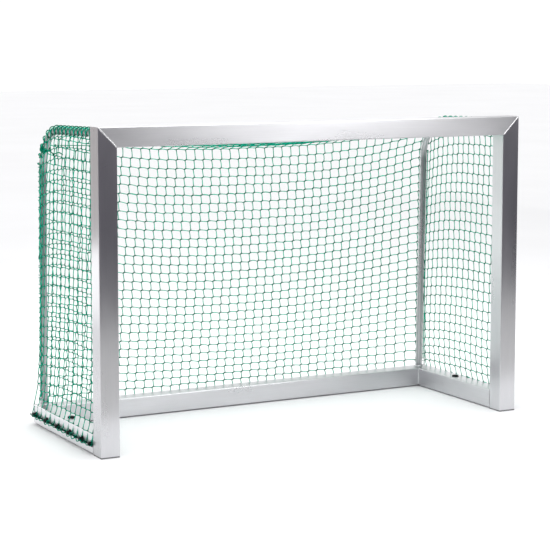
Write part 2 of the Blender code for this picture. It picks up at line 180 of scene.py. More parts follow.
# The net
TWINE_RADIUS = 0.0018
JOINT_RADIUS = 0.0022
NET_GAP = 0.0003
NET_ON_TUBE = TUBE_RADIUS + TWINE_RADIUS + NET_GAP
JOINT_HALF_ACROSS = 0.0036
JOINT_HALF_ALONG = 0.0020
JOINT_SPLIT = 0.0009
HUG_FADE = 0.085
CENTRE_COLUMNS = 43
ROOF_ROWS = 14
BACK_ROWS = 29
ROOF_PITCH = 0.0425
FIRST_BACK_EDGE_Z = 1.19
SAG_DEPTH = 0.10
SAG_FADE = 0.40
SAG_POWER_LOW = 2.0
SAG_POWER_HIGH = 2.7
BEND_Z = 1.147
BEND_Y = 0.695
BACK_LEAN = 0.056
SIDE_COLUMNS = 14
SIDE_TOP_ROW = 1.2376
SIDE_PITCH = 0.0436
SIDE_UPPER_ROWS = 20
SIDE_LOWER_ROWS = 8
ROOF_EXTRA_ROWS = 4
ROOF_BEND = 0.02
ROOF_BEND_STEPS = 6
ROOF_STEP = 0.001
BACK_CURVE = 0.8
CENTRE_EDGE_ANGLE = math.radians(50)
CENTRE_WANDER = 0.0012
SIDE_WANDER = 0.0010
WANDER_PHASES = 6
WANDER_WAVES = (((0.55, 0.21), (-0.16, 0.47)), ((0.31, -0.38), (0.44, 0.27)))
WANDER_SLOW = 0.8
WANDER_OWN = 0.55
STRAND_SLACK = 0.02
RUN_SHARES = (0.33, 0.67)
FOOT_BLEND = 0.1
FOOT_SPREAD = 0.020
FREE_FOOT = 0.03
SAG_POWER_FROM = 0.5
SAG_POWER_SPAN = 0.6
LEAN_FROM = 1.10
EDGE_HOLD = 8
ROW_WRAP_ANGLES = (88, 62, 36, 10, -18, -40)

# How the side nets hang
SIDE_LEAN = {"left": 0.0, "right": 0.055}
SIDE_SPREAD = {"left": 0.10, "right": 0.02}
SPREAD_SPAN = 0.57
DROOP_FROM = 0.30
DROOP_SPAN = 0.39
DROOP_LOW = 0.016
DROOP_RISE = 0.038
DROOP_POWER = 2.4
DROOP_FADE = 0.15
FRONT_DROOP = 0.009
FRONT_DROOP_SPAN = 0.05
REAR_FLARE = 0.026
UPPER_LEG_END = 0.036
BEND_INSET = 0.04
UNDER_TUBE_FROM = 0.45
UNDER_TUBE_GAP = 0.012
SIDE_WRAP_ANGLE = 88
REAR_WRAP_ANGLE = 60
REAR_WRAP_DROP = 0.006
REAR_WRAP_STOP = 0.02

# Lacing, seam and hem
LACED_BACK_ROWS = 3
LACING_SWEEP = (145, -50, -13)
LACING_SHIFT = 0.004
LACING_GAP = 0.0006
LACING_SLACK = {"left": 0.0058, "right": 0.0004}
LACING_HANG_ANGLE = 30
LACING_HANG_RATE = 1.5
LACING_HANG_POWER = 1.5
LACING_SWELL = 1.2
SEAM_FIRST_ROW = 2
SEAM_STEP = 0.006
SEAM_ANGLE = 122
SEAM_WEAVE = 9
SEAM_WEAVE_PACE = 0.9
SEAM_LIFT = 0.0022
SEAM_RADIUS = 0.0030
SEAM_PITCH = 0.012
HEM_TUCK = 0.005
HEM_DROPS = (0.006, 0.014)
HEM_OUTS = (0.009, 0.012)
HEM_LOOP_POINTS = 9
HEM_LOOP_SWELL = 1.15
HEM_RING_GAP = 0.0006
HEM_RING_LEAN = 0.004
HEM_RING_SWEEP = (150, 400, 20)

# Materials: scales are in noise cells per metre, and tone tables are (place, grey)
BLUE_CAST = 1.015
NOISE_LOW = 0.3
NOISE_HIGH = 0.7
LINE_SCALE = 420.0
CLOUD_SCALE = 9.0
GRAIN_SCALE = 1.6
SPECK_SCALE = 60.0
MOTTLE_SCALE = 240.0
PLASTIC_PATCH_SCALE = 35.0
FUZZ_SCALE = 900.0
PATCH_SCALE = 14.0
FLOOR_PATCH_SCALE = 0.6
CLOUD_TONES = ((0.30, 0.61), (0.55, 0.66), (0.75, 0.71))
LINE_TONES = ((0.35, 0.94), (0.65, 1.0))
LINE_CONTRAST = 0.8
PLAIT_STARTS = 2.0
PLAIT_CONTRAST = 0.22
TWINE_SPECULAR = 0.03
# Painted shade: the colour that twine is multiplied by where it swells into a joint, standing in for the
# joints' self-shadow
JOINT_PAINTED_SHADE = (0.30, 0.34, 0.33, 1.0)

# The camera, fitted to the photograph
FOCAL_SHARE = 1812.9 / 550.0
SENSOR_WIDTH = 36.0
CAMERA_YAW = 0.49241
CAMERA_PITCH = -0.11275
CAMERA_PLACE = (-3.6476, -6.3996, 1.6597)
CAMERA_SHIFT_Y = -0.0727

# The studio
FLOOR_SIZE = 60.0
FLOOR_SHIFT = 10
WORLD_STRENGTH = 1.05
TOP_LIGHT_SIZE = (5.0, 3.0)
TOP_LIGHT_WATTS = 90.0
TOP_LIGHT_PLACE = (0.0, -0.5, 4.2)
SOFT_BOX_HALF = (1.8, 1.2)
SOFT_BOX_STRENGTH = 7.5
DARK_START = 2.9
LYING = Matrix.Identity(4)
STANDING = Matrix.Rotation(math.radians(90), 4, "X")
SIDEWAYS = Matrix.Rotation(math.radians(90), 4, "Y")

# What the cards show in the metal: name, colour, strength
GLOWS = (
    ("dark_room", (0.175, 0.166, 0.19), 1.0),
    ("dark_floor", (0.11, 0.105, 0.125), 1.0),
    ("floor_card", (0.78, 0.78, 0.78), 1.0),
    ("back_card", (1.0, 1.0, 1.0), 1.35),
    ("grey_card", (0.60, 0.56, 0.55), 1.0),
    ("brighter_card", (1.0, 1.0, 1.0), 1.9),
)
# Cards that only reflections see: name, glow, size, centre and how it stands
CARDS = (
    ("front_floor_card", "floor_card", (16.0, 2.3), (0.0, -DARK_START + 1.15, 0.012), LYING),
    ("dark_room_floor", "dark_floor", (24.0, 7.0), (0.0, -DARK_START - 3.5, 0.01), LYING),
    ("dark_room_wall", "dark_room", (24.0, 4.0), (0.0, -DARK_START - 7.0, 2.0), STANDING),
    ("dark_left_wall", "dark_room", (4.0, 9.5), (-7.0, -5.2, 2.0), SIDEWAYS),
    ("dark_right_wall", "dark_floor", (4.0, 19.0), (6.5, -0.5, 2.0), SIDEWAYS),
    ("front_soft_box", "soft_box", (3.6, 1.8), (2.0, -3.4, 2.3), STANDING),
    ("back_card", "back_card", (5.3, 1.35), (1.85, 3.0, 0.92), STANDING),
    ("back_left_card", "brighter_card", (3.6, 1.6), (-2.7, 3.0, 0.83), STANDING),
    ("left_grey_card", "grey_card", (3.1, 1.8), (-2.65, 1.8, 1.5), STANDING),
)

random = np.random.default_rng(11)


def placed(x, y, z):
    return Vector((x, y + FRONT_Y, z))


# ---------- materials

def new_material(name):
    material = bpy.data.materials.new(name)
    material.use_nodes = True
    nodes = material.node_tree.nodes
    return material, nodes, material.node_tree.links, nodes["Principled BSDF"]


def ramp(nodes, links, source, stops):
    """A colour ramp fed by source, with (place, colour) stops."""
    node = nodes.new("ShaderNodeValToRGB")
    elements = node.color_ramp.elements
    while len(elements) < len(stops):
        elements.new(0.5)
    for element, (place, colour) in zip(elements, stops):
        element.position = place
        element.color = (*colour, 1.0)
    links.new(source, node.inputs["Fac"])
    return node.outputs["Color"]


def noise(nodes, links, stretch, detail=4.0, roughness=0.55):
    """Noise over object coordinates stretched by a scale along each axis."""
    node = nodes.new("ShaderNodeTexNoise")
    node.inputs["Scale"].default_value = 1.0
    node.inputs["Detail"].default_value = detail
    node.inputs["Roughness"].default_value = roughness
    links.new(scaled_position(nodes, links, stretch), node.inputs["Vector"])
    return node.outputs["Fac"]


def even(scale):
    return (scale, scale, scale)


def spread(nodes, links, source, low, high):
    """A ramp between two colours over the range that a noise mostly takes."""
    return ramp(nodes, links, source, ((NOISE_LOW, low), (NOISE_HIGH, high)))


def attribute(nodes, name):
    node = nodes.new("ShaderNodeAttribute")
    node.attribute_name = name
    return node.outputs["Fac"]


def maths(nodes, links, operation, *values):
    """A math node fed by numbers and by other nodes' outputs."""
    node = nodes.new("ShaderNodeMath")
    node.operation = operation
    for socket, value in zip(node.inputs, values):
        if isinstance(value, float):
            socket.default_value = value
        else:
            links.new(value, socket)
    return node.outputs[0]


def colour_product(nodes):
    node = nodes.new("ShaderNodeMix")
    node.data_type = "RGBA"
    node.blend_type = "MULTIPLY"
    return node


def scaled_position(nodes, links, scale):
    """Object coordinates stretched by a scale along each axis."""
    place = nodes.new("ShaderNodeTexCoord")
    mapping = nodes.new("ShaderNodeMapping")
    mapping.inputs["Scale"].default_value = scale
    links.new(place.outputs["Object"], mapping.inputs["Vector"])
    return mapping.outputs["Vector"]


def bump(nodes, links, height, strength, distance, normal=None):
    node = nodes.new("ShaderNodeBump")
    node.inputs["Strength"].default_value = strength
    node.inputs["Distance"].default_value = distance
    links.new(height, node.inputs["Height"])
    if normal is not None:
        links.new(normal, node.inputs["Normal"])
    return node.outputs["Normal"]


def grey(value):
    return (value, value, value * BLUE_CAST)


def grey_stops(table, shade=1.0):
    return [(place, grey(tone * shade)) for place, tone in table]


def aluminium(name, axis, anisotropy, shade):
    """Extruded aluminium: fine drawing lines along one axis, clouding and small specks."""
    material, nodes, links, shader = new_material(name)
    shader.inputs["Metallic"].default_value = 1.0
    shader.inputs["Anisotropic"].default_value = anisotropy
    if anisotropy:
        grain = nodes.new("ShaderNodeTangent")
        grain.direction_type = "RADIAL"
        grain.axis = "XYZ"[axis]
        links.new(grain.outputs["Tangent"], shader.inputs["Tangent"])
    line_scale, cloud_scale = list(even(LINE_SCALE)), list(even(CLOUD_SCALE))
    line_scale[axis] = cloud_scale[axis] = GRAIN_SCALE
    lines = noise(nodes, links, line_scale, detail=3.0, roughness=0.7)
    clouds = noise(nodes, links, cloud_scale, detail=5.0, roughness=0.6)
    specks = noise(nodes, links, even(SPECK_SCALE), detail=2.0, roughness=0.5)
    mix = colour_product(nodes)
    mix.inputs["Factor"].default_value = LINE_CONTRAST
    links.new(ramp(nodes, links, clouds, grey_stops(CLOUD_TONES, shade)), mix.inputs["A"])
    links.new(ramp(nodes, links, lines, grey_stops(LINE_TONES)), mix.inputs["B"])
    links.new(mix.outputs["Result"], shader.inputs["Base Color"])
    links.new(spread(nodes, links, clouds, grey(0.26), grey(0.33)), shader.inputs["Roughness"])
    fine = bump(nodes, links, lines, strength=0.08, distance=0.0003)
    both = bump(nodes, links, specks, strength=0.05, distance=0.0003, normal=fine)
    links.new(both, shader.inputs["Normal"])
    return material


def weld_metal():
    material, nodes, links, shader = new_material("weld_metal")
    shader.inputs["Metallic"].default_value = 1.0
    mottle = noise(nodes, links, even(MOTTLE_SCALE))
    links.new(spread(nodes, links, mottle, grey(0.62), grey(0.93)), shader.inputs["Base Color"])
    links.new(spread(nodes, links, mottle, grey(0.42), grey(0.25)), shader.inputs["Roughness"])
    links.new(bump(nodes, links, mottle, strength=0.3, distance=0.0004), shader.inputs["Normal"])
    return material


def plastic(name, dark, light, smooth, rough, grain, specular):
    """Moulded plastic with a fine grain and slight colour variation."""
    material, nodes, links, shader = new_material(name)
    shader.inputs["Specular IOR Level"].default_value = specular
    fine = noise(nodes, links, even(grain))
    wide = noise(nodes, links, even(PLASTIC_PATCH_SCALE))
    links.new(spread(nodes, links, wide, dark, light), shader.inputs["Base Color"])
    links.new(spread(nodes, links, wide, grey(smooth), grey(rough)), shader.inputs["Roughness"])
    links.new(bump(nodes, links, fine, strength=0.2, distance=0.0003), shader.inputs["Normal"])
    return material


def twine(name, dark, light, plait_length):
    """Braided twine: a plait from the strand's own along and around coordinates, and fuzz, with painted
    shade that darkens the twine where it is thicker than plain twine, most at the joints.
    """
    material, nodes, links, shader = new_material(name)
    shader.inputs["Specular IOR Level"].default_value = TWINE_SPECULAR
    waves = []
    for turn in (1.0, -1.0):
        pace = maths(nodes, links, "MULTIPLY", attribute(nodes, "along"), 2 * math.pi / plait_length)
        twist = maths(nodes, links, "MULTIPLY_ADD", attribute(nodes, "around"), PLAIT_STARTS * turn, pace)
        waves.append(maths(nodes, links, "SINE", twist))
    plait = maths(nodes, links, "MAXIMUM", *waves)
    fuzz = noise(nodes, links, even(FUZZ_SCALE))
    patch = noise(nodes, links, even(PATCH_SCALE))
    mixed = maths(nodes, links, "MULTIPLY_ADD", plait, PLAIT_CONTRAST, patch)
    # painted shade: the twine is darkened where the strand swells, most at the joints
    painted_joint_shade = colour_product(nodes)
    painted_joint_shade.inputs["B"].default_value = JOINT_PAINTED_SHADE
    links.new(attribute(nodes, "joint_shade_mask"), painted_joint_shade.inputs["Factor"])
    links.new(ramp(nodes, links, mixed, ((0.25, dark), (0.85, light))), painted_joint_shade.inputs["A"])
    links.new(painted_joint_shade.outputs["Result"], shader.inputs["Base Color"])
    links.new(spread(nodes, links, fuzz, grey(0.5), grey(0.7)), shader.inputs["Roughness"])
    relief = bump(nodes, links, plait, strength=0.5, distance=0.0003)
    both = bump(nodes, links, fuzz, strength=0.3, distance=0.0002, normal=relief)
    links.new(both, shader.inputs["Normal"])
    return material


def pale_floor():
    material, nodes, links, shader = new_material("studio_floor")
    shade = noise(nodes, links, even(FLOOR_PATCH_SCALE))
    links.new(spread(nodes, links, shade, grey(0.90), grey(0.93)), shader.inputs["Base Color"])
    shader.inputs["Roughness"].default_value = 0.75
    return material


ALUMINIUM = {letter: aluminium(f"aluminium_along_{letter}", axis, anisotropy=0.9, shade=1.0)
             for axis, letter in enumerate("xyz")}
TUBE_ALUMINIUM = aluminium("aluminium_tube", 2, anisotropy=0.0, shade=0.76)
WELD = weld_metal()
BLACK = plastic("black_plastic", dark=(0.006, 0.006, 0.007), light=(0.018, 0.018, 0.020),
                smooth=0.5, rough=0.65, grain=1500.0, specular=0.12)
GREY = plastic("grey_plastic", dark=(0.10, 0.105, 0.11), light=(0.16, 0.165, 0.17),
               smooth=0.45, rough=0.6, grain=1200.0, specular=0.5)
NET_TWINE = twine("net_twine", dark=(0.000, 0.260, 0.155), light=(0.001, 0.580, 0.370), plait_length=0.0055)
CORD_TWINE = twine("cord_twine", dark=(0.000, 0.009, 0.006), light=(0.001, 0.032, 0.021), plait_length=0.008)
TIE_TWINE = twine("tie_twine", dark=(0.000, 0.120, 0.065), light=(0.001, 0.330, 0.190), plait_length=0.008)


def dress(node, material):
    """A CAD node that stays gets its material."""
    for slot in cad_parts[node].material_slots:
        slot.material = material


# ---------- mesh tools

def linked(name, data):
    item = bpy.data.objects.new(name, data)
    bpy.context.scene.collection.objects.link(item)
    return item


def enrol(piece, replaces=(), body=BODY):
    """Tell the frame what the piece rides on and the nodes it stands for."""
    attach(piece, body)
    if replaces:
        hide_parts(*replaces)


def add_piece(name, mesh, material, replaces=(), body=BODY):
    mesh.materials.append(material)
    enrol(linked(name, mesh), replaces, body)


def unit(vectors):
    return vectors / np.maximum(np.linalg.norm(vectors, axis=-1, keepdims=True), 1e-9)


def lengths_along(points):
    """How far along the path each point is."""
    steps = np.linalg.norm(np.diff(points, axis=0), axis=1)
    return np.concatenate([[0.0], np.cumsum(steps)])


def tube_mesh(name, strands, sides=6):
    """One mesh of many tubes. A strand is (points, radii, normals), all with a row per point."""
    corners, faces, along, around, joint_shade_mask = [], [], [], [], []
    base = 0
    angles = np.arange(sides) * 2 * math.pi / sides
    for points, radii, normals in strands:
        count = len(points)
        tangent = unit(np.gradient(points, axis=0))
        side = unit(np.cross(tangent, normals))
        up = np.cross(side, tangent)
        ring = (np.cos(angles)[None, :, None] * up[:, None, :]
                + np.sin(angles)[None, :, None] * side[:, None, :])
        corners.append((points[:, None, :] + radii[:, None, None] * ring).reshape(-1, 3))
        along.append(np.repeat(lengths_along(points), sides))
        around.append(np.tile(angles, count))
        # how far a strand has swollen towards a joint's radius: the mask of the painted joint shade
        swell = (radii - TWINE_RADIUS) / (JOINT_RADIUS - TWINE_RADIUS)
        joint_shade_mask.append(np.repeat(np.clip(swell, 0.0, 1.0), sides))
        rings = np.arange(count - 1)[:, None] * sides
        first = base + (rings + np.arange(sides)[None, :])
        following = base + (rings + (np.arange(sides)[None, :] + 1) % sides)
        quads = np.stack([first, following, following + sides, first + sides], axis=-1)
        faces += quads.reshape(-1, 4).tolist()
        faces.append(list(range(base + sides - 1, base - 1, -1)))
        last = base + (count - 1) * sides
        faces.append(list(range(last, last + sides)))
        base += count * sides
    mesh = bpy.data.meshes.new(name)
    mesh.from_pydata(np.concatenate(corners), [], faces)
    for label, values in (("along", along), ("around", around), ("joint_shade_mask", joint_shade_mask)):
        layer = mesh.attributes.new(label, "FLOAT", "POINT")
        layer.data.foreach_set("value", np.concatenate(values).astype(np.float32))
    mesh.shade_smooth()
    mesh.update()
    return mesh


def resampled(points, step):
    points = np.array(points, float)
    length = lengths_along(points)
    places = np.linspace(0.0, length[-1], max(2, int(math.ceil(length[-1] / step)) + 1))
    return np.stack([np.interp(places, length, points[:, axis]) for axis in range(3)], axis=1)


def smoothed(points, rounds=2):
    """The points with their corners cut, keeping both ends."""
    points = np.array(points, float)
    for _ in range(rounds):
        near = points[:-1] * 0.75 + points[1:] * 0.25
        far = points[:-1] * 0.25 + points[1:] * 0.75
        points = np.concatenate([points[:1], np.stack([near, far], axis=1).reshape(-1, 3), points[-1:]])
    return points


def transported(points):
    """A normal at each point that turns as little as it can along the path."""
    tangent = unit(np.gradient(points, axis=0))
    seed = np.array((0.0, 0.0, 1.0)) if abs(tangent[0][2]) < 0.9 else np.array((0.0, 1.0, 0.0))
    normals = np.zeros_like(points)
    current = seed
    for index, direction in enumerate(tangent):
        current = current - direction * current.dot(direction)
        current = current / np.linalg.norm(current)
        normals[index] = current
    return normals


def even_strand(points, radius):
    return points, np.full(len(points), radius), transported(points)


def rope_strands(points, radius, pitch, plies=3):
    """Twisted plies that together fill a rope of the given radius."""
    line = resampled(points, ROPE_STEP)
    tangent = unit(np.gradient(line, axis=0))
    normal = transported(line)
    side = np.cross(tangent, normal)
    length = np.arange(len(line)) * np.linalg.norm(line[1] - line[0])
    strands = []
    for ply in range(plies):
        angle = 2 * math.pi * (length / pitch + ply / plies)
        out = np.cos(angle)[:, None] * normal + np.sin(angle)[:, None] * side
        strands.append((line + out * radius * PLY_OFFSET, np.full(len(line), radius * PLY_RADIUS), out))
    return strands


def knot_strand(centre, size, radius, axis_a, axis_b):
    """A tight overhand knot: a trefoil loop."""
    turn = np.linspace(0.0, 2 * math.pi, KNOT_POINTS)
    a, b = np.array(axis_a, float), np.array(axis_b, float)
    c = np.cross(a, b)
    points = (np.array(centre, float)
              + (np.sin(turn) + 2 * np.sin(2 * turn))[:, None] * a * size / 3
              + (np.cos(turn) - 2 * np.cos(2 * turn))[:, None] * b * size / 3
              - np.sin(3 * turn)[:, None] * c * size / KNOT_FLATNESS)
    return points, np.full(len(points), radius), np.tile(c, (len(points), 1))


def filleted(points, radius, steps):
    """The path through the points with every inner corner turned into an arc."""
    path = [Vector(points[0])]
    for before, corner, after in zip(points, points[1:], points[2:]):
        corner = Vector(corner)
        back = (Vector(before) - corner).normalized()
        on = (Vector(after) - corner).normalized()
        half_angle = back.angle(on) / 2
        centre = corner + (back + on).normalized() * radius / math.sin(half_angle)
        first = corner + back * radius / math.tan(half_angle) - centre
        last = corner + on * radius / math.tan(half_angle) - centre
        sweep = first.angle(last)
        for step in range(steps + 1):
            share = step / steps
            arm = first * math.sin((1 - share) * sweep) + last * math.sin(share * sweep)
            path.append(centre + arm / math.sin(sweep))
    path.append(Vector(points[-1]))
    return path


# ---------- brackets

def bracket_line():
    """The bracket's centreline in its own plane as (y, z), with the outward normal at each point."""
    front = Vector((PROFILE, FRAME_HEIGHT - TUBE_TOP_DROP))
    foot = Vector((FRAME_DEPTH - TUBE_REAR_INSET, GROUND_BAR_TOP))
    corner = Vector((foot.x - TUBE_REAR_LEAN, front.y - TUBE_CORNER_DROP))
    front = front + (corner - front).normalized() * TUBE_END_GAP
    foot = foot + (corner - foot).normalized() * TUBE_END_GAP
    flat = filleted((front, corner, foot), TUBE_BEND, TUBE_BEND_STEPS)
    line = resampled([(0.0, p.x, p.y) for p in flat], TUBE_STEP)[:, 1:]
    tangent = unit(np.gradient(line, axis=0))
    normal = np.stack([-tangent[:, 1], tangent[:, 0]], axis=1)
    return line, normal, lengths_along(line)


TUBE_LINE, TUBE_NORMAL, TUBE_LENGTH = bracket_line()


def on_bracket(distance):
    """Centre and outward normal (y, z) at a distance along the bracket from its front end."""
    centre = [np.interp(distance, TUBE_LENGTH, TUBE_LINE[:, axis]) for axis in range(2)]
    normal = [np.interp(distance, TUBE_LENGTH, TUBE_NORMAL[:, axis]) for axis in range(2)]
    return np.array(centre), np.array(normal) / np.linalg.norm(normal)


def bracket_distance_at_height(z):
    """How far along the bracket its net, lying on the outside, is at a height on the rear half."""
    for distance in np.arange(TUBE_LENGTH[-1], 0.0, -SEARCH_STEP):
        centre, normal = on_bracket(distance)
        if centre[1] + normal[1] * NET_ON_TUBE >= z:
            return distance
    return 0.0


def make_brackets():
    for side, sign in SIDES.items():
        points = np.array([placed(sign * POST_X, y, z) for y, z in TUBE_LINE])
        normals = np.tile((1.0, 0.0, 0.0), (len(points), 1))
        tube = [(points, np.full(len(points), TUBE_RADIUS), normals)]
        mesh = tube_mesh(f"{side}_bracket_tube", tube, TUBE_SIDES)
        add_piece(f"{side}_bracket_tube", mesh, TUBE_ALUMINIUM, (f"{side}_net_bracket",))


# ---------- the net

def wander(rows, columns, size):
    """Smooth in-plane wandering plus a little for each joint, in metres."""
    row = np.arange(rows)[:, None]
    column = np.arange(columns)[None, :]
    phase = iter(random.uniform(0, 2 * math.pi, WANDER_PHASES))
    slow = [sum(np.sin(row * by_row + column * by_column + next(phase)) for by_row, by_column in waves) * 0.5
            for waves in WANDER_WAVES]
    own = random.normal(0.0, 1.0, (2, rows, columns))
    return [size * (slow[axis] * WANDER_SLOW + own[axis] * WANDER_OWN) for axis in range(2)]


def strand_through(joints_in, joints_out, normals, split, lead, trail):
    """A twine that enters each joint at one end and leaves at the other, with free runs between."""
    stations = [(place, TWINE_RADIUS, normal) for place, normal in lead]
    count = len(joints_in)
    for index in range(count):
        stations += [(joint[index] + split[index], JOINT_RADIUS, normals[index])
                     for joint in (joints_in, joints_out)]
        if index + 1 < count:
            start, end = joints_out[index], joints_in[index + 1]
            reach = np.linalg.norm(end - start)
            slack = random.normal(0.0, STRAND_SLACK, 2) * reach
            across = np.cross(unit(end - start), normals[index])
            for share in RUN_SHARES:
                sway = across * slack[0] + normals[index] * slack[1]
                normal = normals[index] * (1 - share) + normals[index + 1] * share
                stations.append((start * (1 - share) + end * share + sway, TWINE_RADIUS, normal))
    stations += [(place, TWINE_RADIUS, normal) for place, normal in trail]
    points, radii, outs = zip(*stations)
    return np.array(points), np.array(radii), unit(np.array(outs))


def net_frames(grid):
    """Unit vectors along the rows, up the columns, and out of the net at each joint."""
    right = unit(np.gradient(grid, axis=1))
    up = -unit(np.gradient(grid, axis=0))
    out = unit(np.cross(up, right))
    return right, up, out


def knitted(grid, handed, present=None, row_ends=None, column_ends=None):
    """Strands for a square-mesh knotless net. handed is 1 where increasing columns run to the
    right as seen from inside the goal, and -1 where they run to the left."""
    rows, columns = grid.shape[:2]
    right, up, out = net_frames(grid)
    reach = right * handed * JOINT_HALF_ACROSS + up * JOINT_HALF_ALONG
    upper, lower = grid + reach, grid - reach
    split = unit(up * JOINT_HALF_ACROSS - right * handed * JOINT_HALF_ALONG) * JOINT_SPLIT
    if present is None:
        present = np.ones((rows, columns), bool)
    strands = []
    for column in range(columns):
        chosen = np.nonzero(present[:, column])[0]
        if len(chosen) < 2:
            continue
        lead, trail = (column_ends(column, chosen, out) if column_ends else ([], []))
        strands.append(strand_through(upper[chosen, column], lower[chosen, column], out[chosen, column],
                                      split[chosen, column], lead, trail))
    for row in range(rows):
        chosen = np.nonzero(present[row])[0]
        if len(chosen) < 2:
            continue
        lead, trail = (row_ends(row, chosen, out) if row_ends else ([], []))
        first, second = (lower, upper) if handed > 0 else (upper, lower)
        strands.append(strand_through(first[row, chosen], second[row, chosen], out[row, chosen],
                                      -split[row, chosen], lead, trail))
    return strands


def low_share(z):
    """How far the net has left the tube for the ground cord at a height: 0 up high, 1 at the cord."""
    return math.exp(-max(0.0, z - GROUND_CORD_Z) / HUG_FADE)


def sag(edge_z):
    """How far the middle of a row hangs below its ends."""
    return SAG_DEPTH * (1 - math.exp(-max(0.0, edge_z - GROUND_CORD_Z) / SAG_FADE))


def back_depth(z):
    """How far back the net hangs at a height."""
    low, high = FRAME_DEPTH + HOOK_RING_OFFSET, BEND_Y
    share = min(1.0, max(0.0, (z - GROUND_CORD_Z) / (BEND_Z - GROUND_CORD_Z)))
    return low + (high - low) * share ** BACK_CURVE


def centre_rows():
    """For each row of the roof and back: its distance along the brackets and its middle (y, z)."""
    first_back = bracket_distance_at_height(FIRST_BACK_EDGE_Z)
    roof_length = first_back - HOOK_RING_OFFSET
    distances = [HOOK_RING_OFFSET + roof_length * row / ROOF_ROWS for row in range(ROOF_ROWS)]
    middle_top = FIRST_BACK_EDGE_Z - sag(FIRST_BACK_EDGE_Z)
    corners = ((0.0, PROFILE + HOOK_RING_OFFSET, FRONT_CORD_Z), (0.0, BEND_Y, BEND_Z),
               (0.0, back_depth(middle_top), middle_top))
    roof = resampled(filleted(corners, ROOF_BEND, ROOF_BEND_STEPS), ROOF_STEP)[:, 1:]
    share = np.arange(ROOF_ROWS) / ROOF_ROWS * (len(roof) - 1)
    middles = [roof[int(index)] for index in share]
    pitch = (FIRST_BACK_EDGE_Z - GROUND_CORD_Z) / BACK_ROWS
    for row in range(BACK_ROWS + 1):
        edge_z = FIRST_BACK_EDGE_Z - pitch * row
        z = edge_z - sag(edge_z)
        distances.append(bracket_distance_at_height(edge_z))
        middles.append(np.array((back_depth(z), z)))
    return distances, middles


def centre_grid():
    """The joints of the roof and back, from the left bracket to the right one."""
    distances, middles = centre_rows()
    rows = len(distances)
    grid = np.zeros((rows, CENTRE_COLUMNS + 1, 3))
    inner = POST_X - NET_ON_TUBE * math.sin(CENTRE_EDGE_ANGLE)
    shift_x, shift_z = wander(rows, CENTRE_COLUMNS + 1, CENTRE_WANDER)
    for row, (distance, middle) in enumerate(zip(distances, middles)):
        centre, normal = on_bracket(distance)
        edge = centre + normal * NET_ON_TUBE * math.cos(CENTRE_EDGE_ANGLE)
        if centre[1] < GROUND_BAR_TOP + FOOT_BLEND:
            blend = min(1.0, (GROUND_BAR_TOP + FOOT_BLEND - centre[1]) / FOOT_BLEND)
            edge = edge * (1 - blend) + np.array(middle) * blend
        climb = min(1.0, max(0.0, centre[1] - SAG_POWER_FROM) / SAG_POWER_SPAN)
        power = SAG_POWER_LOW + (SAG_POWER_HIGH - SAG_POWER_LOW) * climb
        half = inner + FOOT_SPREAD * low_share(centre[1])
        drop = max(0.0, LEAN_FROM - middle[1])
        for column in range(CENTRE_COLUMNS + 1):
            across = 2 * column / CENTRE_COLUMNS - 1
            weight = abs(across) ** power
            inside = 1 - abs(across) ** EDGE_HOLD
            y, z = np.array(middle) * (1 - weight) + edge * weight
            x = across * half - BACK_LEAN * drop * inside + shift_x[row, column] * inside
            z += shift_z[row, column] * inside * (0.0 if row in (0, rows - 1) else 1.0)
            grid[row, column] = placed(x, y, z)
    return grid, distances


def wrap_round_tube(distance, sign, angles):
    """Points round the outside of a bracket; angle 0 is on its outward side and 90 faces sideways."""
    centre, normal = on_bracket(distance)
    places = []
    for degrees in angles:
        turn = math.radians(degrees)
        y, z = centre + normal * NET_ON_TUBE * math.cos(turn)
        out = np.array((sign * math.sin(turn), normal[0] * math.cos(turn), normal[1] * math.cos(turn)))
        places.append((np.array(placed(sign * (POST_X + NET_ON_TUBE * math.sin(turn)), y, z)), out))
    return places


def above_tube(distance, sign, degrees, lift):
    """A point round a bracket at an angle, lifted off the surface that the net lies on."""
    place, out = wrap_round_tube(distance, sign, (degrees,))[0]
    return place + out * lift


CENTRE, ROW_DISTANCES = centre_grid()


def row_wraps(first_row):
    """The ends of the rows of a panel that starts at first_row: they wrap over both brackets."""
    def ends(row, chosen, out):
        distance = ROW_DISTANCES[row + first_row]
        if distance > TUBE_LENGTH[-1] - FREE_FOOT:
            return [], []
        left = wrap_round_tube(distance, -1.0, ROW_WRAP_ANGLES)
        right = wrap_round_tube(distance, 1.0, ROW_WRAP_ANGLES[::-1])
        return left, right
    return ends


def make_centre_net():
    split = ROOF_ROWS + ROOF_EXTRA_ROWS
    for name, grid, first_row in (("roof_net", CENTRE[:split + 1], 0), ("back_net", CENTRE[split:], split)):
        strands = knitted(grid, 1.0, row_ends=row_wraps(first_row))
        add_piece(f"{name}_mesh", tube_mesh(f"{name}_mesh", strands), NET_TWINE, (name,))


def side_plane(z):
    """How far out the side net hangs at a height: over the tube at the top, over the bar below."""
    top = POST_X + NET_ON_TUBE
    low = FRAME_HALF + HOOK_RING_OFFSET
    return top + (low - top) * low_share(z)


def tube_height_at(y):
    """Height of the bracket's centreline above a depth, or 0 behind the bend."""
    upper = TUBE_LINE[: int(np.argmax(TUBE_LINE[:, 0] > FRAME_DEPTH - UPPER_LEG_END))]
    return float(np.interp(y, upper[:, 0], upper[:, 1], right=0.0))


def rear_limit(z):
    """How far back a side net's joints reach at a height: to the tube, and past it near the cord."""
    rear = TUBE_LINE[len(TUBE_LINE) // 2:]
    centre = float(np.interp(-z, -rear[:, 1], rear[:, 0]))
    return centre + REAR_FLARE * low_share(z)


